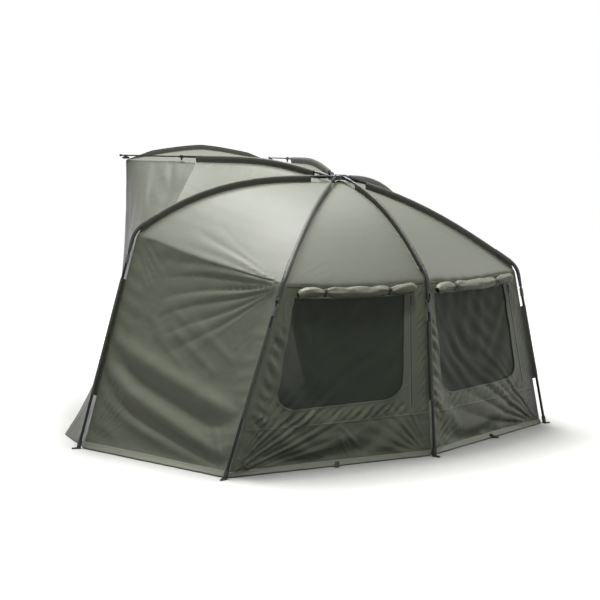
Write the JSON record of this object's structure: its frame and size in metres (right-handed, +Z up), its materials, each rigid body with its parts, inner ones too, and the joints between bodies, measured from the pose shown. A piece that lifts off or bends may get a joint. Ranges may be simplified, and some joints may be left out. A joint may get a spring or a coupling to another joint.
{
  "type": "spider-frame bivvy tent",
  "caption": "Dome bivvy tent on a hinged spider frame with folding legs, hooded open front and zipped net windows with rolled covers.",
  "frame": {"origin": "middle of the footprint on the ground plane, under the middle of the tent's length and width", "axes": "+Z up, -Y towards the door and peak, +X towards the tent's left side (the right side as seen when facing the door from outside)"},
  "size_m": [2.8854, 2.348, 1.7325],
  "materials": {
    "hub_nylon": "moulded glass-filled nylon, fine grain",
    "cap_zinc": "zinc-plated, satin",
    "pin_steel": "zinc-plated",
    "pole_aluminium": "black anodised, gloss",
    "rod_aluminium": "black anodised, satin",
    "elbow_nylon": "moulded nylon, satin",
    "foot_nylon": "moulded nylon, matt",
    "roof_polyester": "coated polyester, slight sheen",
    "wall_polyester": "coated polyester, slight sheen",
    "porch_polyester": "coated polyester, slight sheen",
    "trim_polyester": "heavy coated polyester, matt",
    "visor_polyester": "stiffened polyester band, matt",
    "cover_polyester": "rolled coated polyester",
    "netting": "fine insect netting, matt",
    "slider_metal": "black lacquered zinc"
  },
  "bodies": {
    "hub": {"hub": "hub_nylon", "hub_cap": "cap_zinc", "hub_pin_peak_left": "pin_steel", "hub_pin_side_left": "pin_steel", "hub_pin_corner_left": "pin_steel", "hub_pin_rear": "pin_steel", "hub_pin_corner_right": "pin_steel", "hub_pin_side_right": "pin_steel", "hub_pin_peak_right": "pin_steel"},
    "rib_side_left": {"rib_side_left": "pole_aluminium", "roof_side_left": "roof_polyester", "elbow_side_left": "elbow_nylon", "porch_left": "porch_polyester"},
    "rib_peak_left": {"rib_peak_left": "pole_aluminium", "roof_peak_left": "roof_polyester", "peak_visor": "visor_polyester", "door_roll": "cover_polyester"},
    "rib_corner_left": {"rib_corner_left": "pole_aluminium", "roof_corner_left": "roof_polyester", "elbow_corner_left": "elbow_nylon", "wall_side_left": "wall_polyester"},
    "rib_rear": {"rib_rear": "pole_aluminium", "roof_rear": "roof_polyester", "elbow_rear": "elbow_nylon", "wall_rear_left": "wall_polyester", "window_net_rear_left": "netting", "window_cover_rear_left": "cover_polyester"},
    "rib_corner_right": {"rib_corner_right": "pole_aluminium", "roof_corner_right": "roof_polyester", "elbow_corner_right": "elbow_nylon", "wall_rear_right": "wall_polyester", "window_net_rear_right": "netting", "window_cover_rear_right": "cover_polyester"},
    "rib_side_right": {"rib_side_right": "pole_aluminium", "roof_side_right": "roof_polyester", "elbow_side_right": "elbow_nylon", "wall_side_right": "wall_polyester", "porch_right": "porch_polyester"},
    "rib_peak_right": {"rib_peak_right": "pole_aluminium", "roof_peak_right": "roof_polyester"},
    "leg_side_left": {"leg_side_left": "pole_aluminium", "foot_side_left": "foot_nylon", "leg_sleeve_side_left": "trim_polyester"},
    "leg_corner_left": {"leg_corner_left": "pole_aluminium", "foot_corner_left": "foot_nylon", "leg_sleeve_corner_left": "trim_polyester"},
    "leg_rear": {"leg_rear": "pole_aluminium", "foot_rear": "foot_nylon", "leg_sleeve_rear": "trim_polyester"},
    "leg_corner_right": {"leg_corner_right": "pole_aluminium", "foot_corner_right": "foot_nylon", "leg_sleeve_corner_right": "trim_polyester"},
    "leg_side_right": {"leg_side_right": "pole_aluminium", "foot_side_right": "foot_nylon", "leg_sleeve_side_right": "trim_polyester"},
    "peak_rod_left": {"peak_rod_left": "rod_aluminium"},
    "peak_rod_right": {"peak_rod_right": "rod_aluminium"},
    "zip_slider_rear_left": {"zip_slider_rear_left": "slider_metal"},
    "zip_slider_rear_right": {"zip_slider_rear_right": "slider_metal"}
  },
  "joints": [
    {"name": "rib_side_left_fold", "type": "hinge", "parent": "hub", "child": "rib_side_left", "pos_m": [0.04068, 0.30178, 1.495], "axis": [0.4274, 0.9041, 0], "range_deg": [0, 40], "deforming": ["roof_side_left", "porch_left"]},
    {"name": "rib_peak_left_fold", "type": "hinge", "parent": "hub", "child": "rib_peak_left", "pos_m": [0.01664, 0.2792, 1.495], "axis": [0.9291, 0.3697, 0], "range_deg": [0, 66], "deforming": ["roof_peak_left", "peak_visor", "door_roll"]},
    {"name": "rib_corner_left_fold", "type": "hinge", "parent": "hub", "child": "rib_corner_left", "pos_m": [0.0365, 0.34733, 1.495], "axis": [-0.585, 0.8111, 0], "range_deg": [0, 28.5], "deforming": ["roof_corner_left", "wall_side_left"]},
    {"name": "rib_rear_fold", "type": "hinge", "parent": "hub", "child": "rib_rear", "pos_m": [0, 0.36601, 1.495], "axis": [-1, 0, 0], "range_deg": [0, 18], "deforming": ["roof_rear", "wall_rear_left", "window_net_rear_left", "window_cover_rear_left"]},
    {"name": "rib_corner_right_fold", "type": "hinge", "parent": "hub", "child": "rib_corner_right", "pos_m": [-0.0365, 0.34733, 1.495], "axis": [-0.585, -0.8111, 0], "range_deg": [0, 28.5], "deforming": ["roof_corner_right", "wall_rear_right", "window_net_rear_right", "window_cover_rear_right"]},
    {"name": "rib_side_right_fold", "type": "hinge", "parent": "hub", "child": "rib_side_right", "pos_m": [-0.04068, 0.30178, 1.495], "axis": [0.4274, -0.9041, 0], "range_deg": [0, 40], "deforming": ["roof_side_right", "wall_side_right", "porch_right"]},
    {"name": "rib_peak_right_fold", "type": "hinge", "parent": "hub", "child": "rib_peak_right", "pos_m": [-0.01664, 0.2792, 1.495], "axis": [0.9291, -0.3697, 0], "range_deg": [0, 66], "deforming": ["roof_peak_right"]},
    {"name": "leg_side_left_fold", "type": "hinge", "parent": "rib_side_left", "child": "leg_side_left", "pos_m": [1.08997, -0.18341, 1.08969], "axis": [0.4869, 0.8668, 0.1074], "range_deg": [0, 124.7], "deforming": ["leg_sleeve_side_left"]},
    {"name": "leg_corner_left_fold", "type": "hinge", "parent": "rib_corner_left", "child": "leg_corner_left", "pos_m": [0.88475, 0.92641, 0.86609], "axis": [-0.7071, 0.6515, -0.2748], "range_deg": [0, 131], "deforming": ["leg_sleeve_corner_left"]},
    {"name": "leg_rear_fold", "type": "hinge", "parent": "rib_rear", "child": "leg_rear", "pos_m": [0, 1.08164, 0.84725], "axis": [-1, 0, 0], "range_deg": [0, 135], "deforming": ["leg_sleeve_rear"]},
    {"name": "leg_corner_right_fold", "type": "hinge", "parent": "rib_corner_right", "child": "leg_corner_right", "pos_m": [-0.88475, 0.92641, 0.86609], "axis": [-0.7071, -0.6515, 0.2748], "range_deg": [0, 131], "deforming": ["leg_sleeve_corner_right"]},
    {"name": "leg_side_right_fold", "type": "hinge", "parent": "rib_side_right", "child": "leg_side_right", "pos_m": [-1.08997, -0.18341, 1.08969], "axis": [0.4869, -0.8668, -0.1074], "range_deg": [0, 124.7], "deforming": ["leg_sleeve_side_right"]},
    {"name": "peak_rod_left_slide", "type": "slide", "parent": "rib_peak_left", "child": "peak_rod_left", "axis": [-0.3695, 0.9285, -0.0363], "range_m": [0, 0.35]},
    {"name": "peak_rod_right_slide", "type": "slide", "parent": "rib_peak_right", "child": "peak_rod_right", "axis": [0.3695, 0.9285, -0.0363], "range_m": [0, 0.35]},
    {"name": "zip_slider_rear_left_slide", "type": "slide", "parent": "rib_rear", "child": "zip_slider_rear_left", "axis": [0.0356, 0.0367, -0.9987], "range_m": [0, 0.516]},
    {"name": "zip_slider_rear_right_slide", "type": "slide", "parent": "rib_corner_right", "child": "zip_slider_rear_right", "axis": [-0.2827, -0.0539, -0.9577], "range_m": [0, 0.546]}
  ],
  "couplings": [
    {"joint": "rib_peak_left_fold", "follows": "rib_side_left_fold", "ratio": 1.65},
    {"joint": "rib_corner_left_fold", "follows": "rib_side_left_fold", "ratio": 0.7125},
    {"joint": "rib_rear_fold", "follows": "rib_side_left_fold", "ratio": 0.45},
    {"joint": "rib_corner_right_fold", "follows": "rib_side_left_fold", "ratio": 0.7125},
    {"joint": "rib_side_right_fold", "follows": "rib_side_left_fold", "ratio": 1},
    {"joint": "rib_peak_right_fold", "follows": "rib_side_left_fold", "ratio": 1.65},
    {"joint": "leg_corner_left_fold", "follows": "leg_side_left_fold", "ratio": 1.0505},
    {"joint": "leg_rear_fold", "follows": "leg_side_left_fold", "ratio": 1.0826},
    {"joint": "leg_corner_right_fold", "follows": "leg_side_left_fold", "ratio": 1.0505},
    {"joint": "leg_side_right_fold", "follows": "leg_side_left_fold", "ratio": 1},
    {"joint": "peak_rod_left_slide", "follows": "rib_side_left_fold", "m_per_rad": 0.50134},
    {"joint": "peak_rod_right_slide", "follows": "rib_side_left_fold", "m_per_rad": 0.50134}
  ]
}
